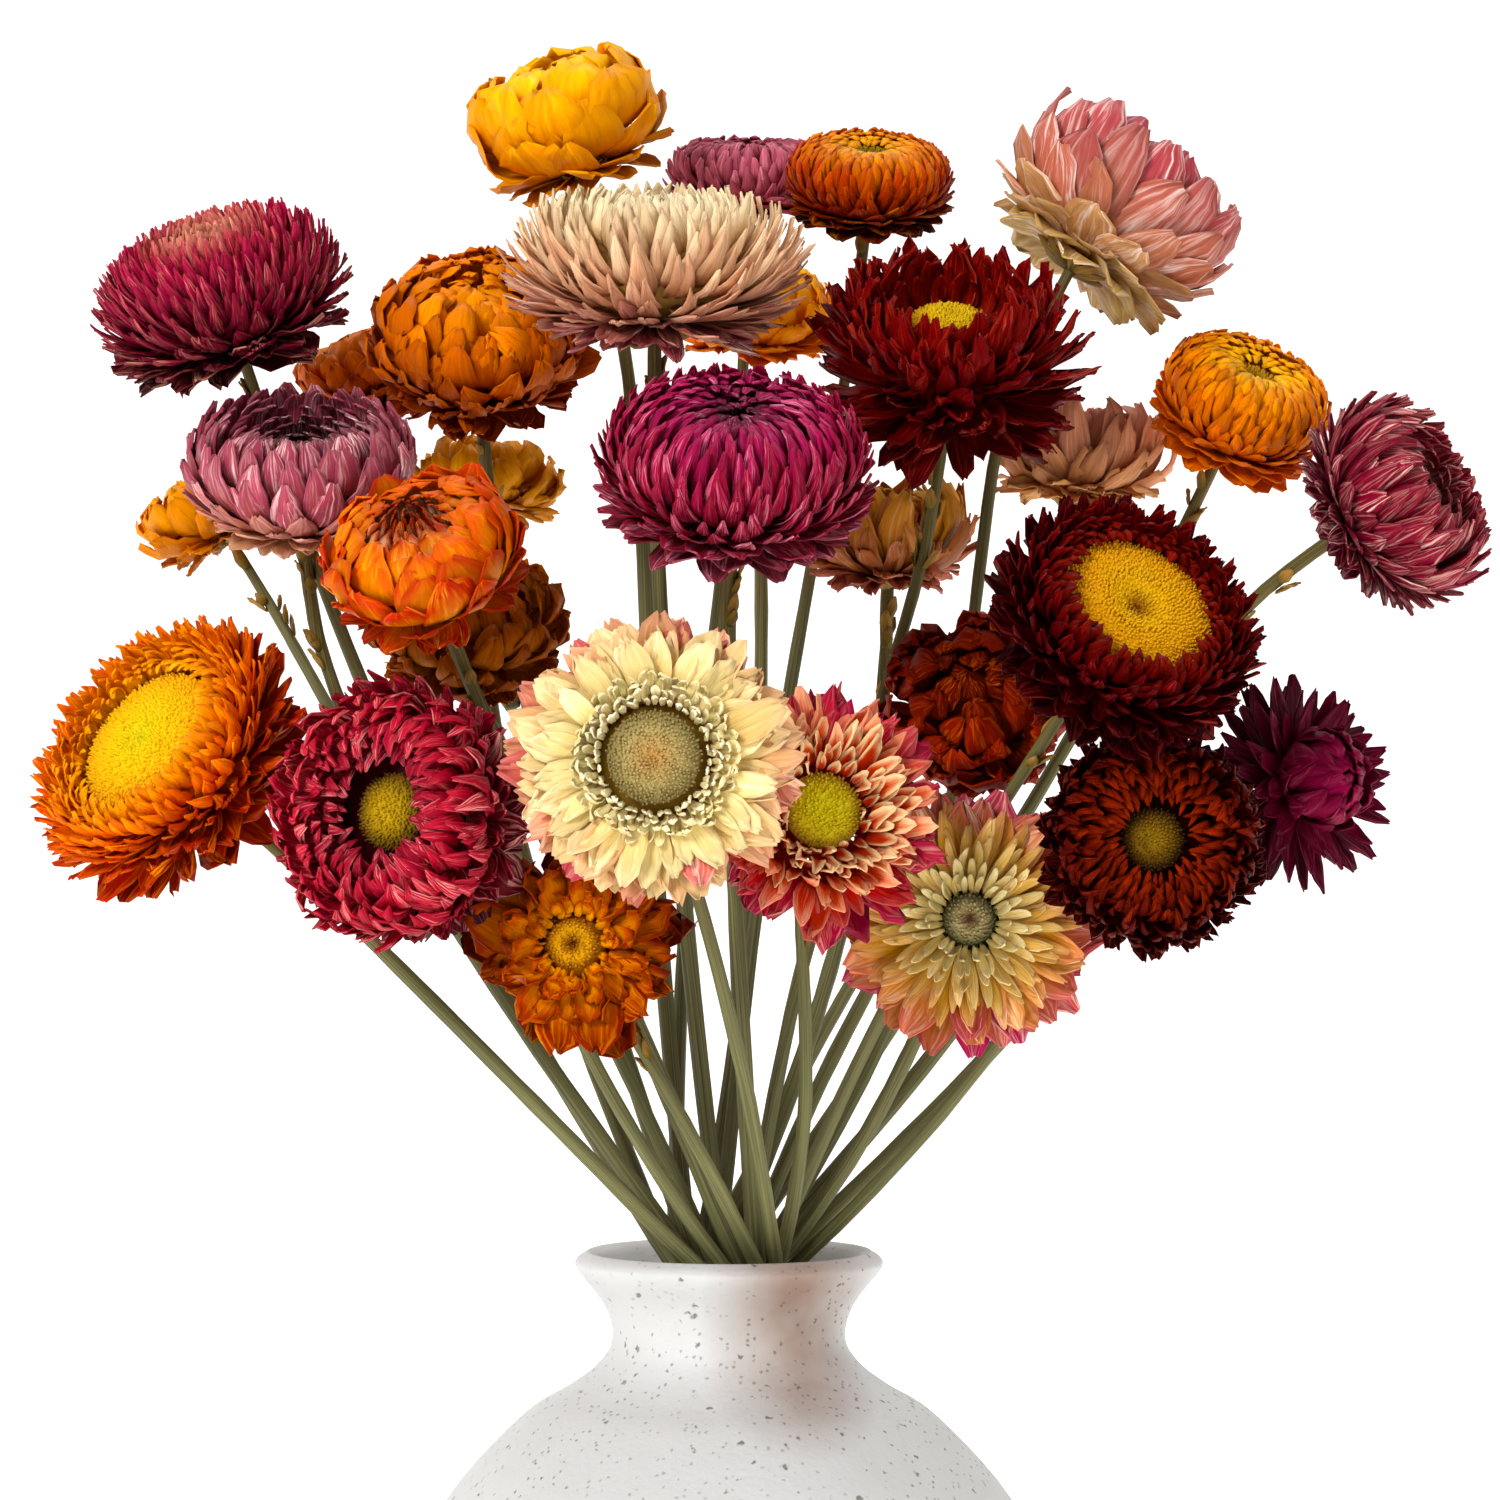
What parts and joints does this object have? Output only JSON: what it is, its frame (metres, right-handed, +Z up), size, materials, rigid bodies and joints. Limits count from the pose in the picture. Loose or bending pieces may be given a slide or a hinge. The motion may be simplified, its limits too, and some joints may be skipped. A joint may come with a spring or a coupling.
{
  "type": "vase of dried strawflowers",
  "caption": "Bouquet of dried papery daisies with many-coloured heads on fanned stems, standing in a round speckled stoneware vase.",
  "frame": {"origin": "centre of the vase's flat foot, on the surface that it stands on", "axes": "+Z up along the vase's axis, -Y towards the front that the picture shows, +X to the right seen from the front"},
  "size_m": [0.2413, 0.158, 0.3298],
  "materials": {
    "stoneware": "matt off-white glaze with fine dark specks and pits",
    "stem": "dry grey-green ribbed stalk",
    "gold": "golden yellow, satin papery bracts",
    "mauve": "mauve pink, satin papery bracts",
    "orange_red": "orange-red, satin papery bracts",
    "peach": "peach and cream, satin papery bracts",
    "pink": "pink streaked with white, satin papery bracts",
    "crimson": "crimson, satin papery bracts",
    "orange": "orange, satin papery bracts",
    "maroon": "near-black maroon, satin papery bracts",
    "rust": "rust red, satin papery bracts",
    "magenta": "magenta, satin papery bracts",
    "plum": "plum, satin papery bracts",
    "coral": "coral and peach, satin papery bracts",
    "cream": "cream yellow, satin papery bracts"
  },
  "bodies": {
    "root": {"vase": "stoneware", "head_01_gold": "gold", "head_02_mauve": "mauve", "head_03_orange_red": "orange_red", "head_04_peach": "peach", "head_05_pink": "pink", "head_06_crimson": "crimson", "head_07_orange": "orange", "head_08_orange": "orange", "head_09_orange": "orange", "head_10_maroon": "maroon", "head_11_mauve": "mauve", "head_12_gold": "gold", "head_13_gold": "gold", "head_14_orange_red": "orange_red", "head_15_rust": "rust", "head_16_magenta": "magenta", "head_17_peach": "peach", "head_18_peach": "peach", "head_19_orange": "orange", "head_20_crimson": "crimson", "head_21_maroon": "maroon", "head_22_rust": "rust", "head_23_maroon": "maroon", "head_24_plum": "plum", "head_25_orange": "orange", "head_26_crimson": "crimson", "head_27_cream": "cream", "head_28_coral": "coral", "head_29_orange": "orange", "head_30_cream": "cream", "stem_01": "stem", "stem_02": "stem", "stem_03": "stem", "stem_04": "stem", "stem_05": "stem", "stem_06": "stem", "stem_07_08": "stem", "stem_09": "stem", "stem_10": "stem", "stem_11_12": "stem", "stem_13": "stem", "stem_14": "stem", "stem_15": "stem", "stem_16": "stem", "stem_17": "stem", "stem_18": "stem", "stem_19": "stem", "stem_20": "stem", "stem_21": "stem", "stem_22": "stem", "stem_23": "stem", "stem_24": "stem", "stem_25": "stem", "stem_26": "stem", "stem_27": "stem", "stem_28": "stem", "stem_29": "stem", "stem_30": "stem"}
  },
  "joints": []
}
